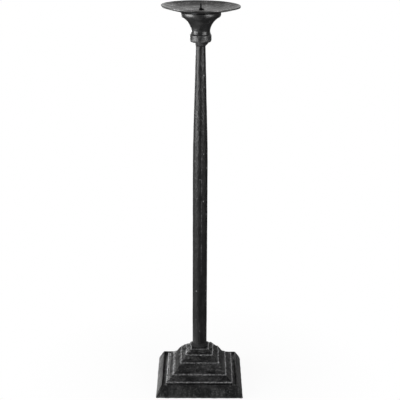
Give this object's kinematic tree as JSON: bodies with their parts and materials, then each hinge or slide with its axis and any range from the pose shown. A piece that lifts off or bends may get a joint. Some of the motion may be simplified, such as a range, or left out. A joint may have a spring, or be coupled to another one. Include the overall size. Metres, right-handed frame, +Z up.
{
  "type": "pricket candlestick",
  "caption": "Tall cast-iron pricket candlestick: stepped square foot, round column tapering upwards, bell collar and a shallow drip pan with a central spike that screws off.",
  "frame": {"origin": "on the table, under the middle of the square foot", "axes": "+Z up along the column, -Y towards the viewer in the picture, +X to the right"},
  "size_m": [0.135, 0.135, 0.6014],
  "materials": {
    "black_iron": "blackened casting, satin, rubbed pale along its edges",
    "pan_iron": "blackened, brushed thin inside",
    "weld_iron": "rough bead, blackened",
    "spike_steel": "blackened steel",
    "zinc_steel": "zinc plated",
    "spring_steel": "oil blackened",
    "felt": "pressed wool felt"
  },
  "bodies": {
    "stand": {"base_casting": "black_iron", "felt_pad_front_left": "felt", "felt_pad_front_right": "felt", "felt_pad_back_left": "felt", "felt_pad_back_right": "felt", "base_bolt": "zinc_steel", "base_flat_washer": "zinc_steel", "base_spring_washer": "spring_steel", "column": "black_iron", "collar": "black_iron", "collar_weld": "weld_iron"},
    "washer": {"pan_washer": "zinc_steel"},
    "pan": {"drip_pan": "pan_iron", "spike": "spike_steel", "spike_weld": "weld_iron"}
  },
  "joints": [
    {"name": "pan_lift", "type": "slide", "parent": "stand", "child": "washer", "axis": [0, 0, 1], "range_m": [0, 0.012]},
    {"name": "pan_turn", "type": "hinge", "parent": "washer", "child": "pan", "pos_m": [0, 0, 0.59], "axis": [0, 0, 1], "range_deg": [0, 4320]}
  ],
  "couplings": [
    {"joint": "pan_lift", "follows": "pan_turn", "m_per_rad": 0.00015915}
  ]
}
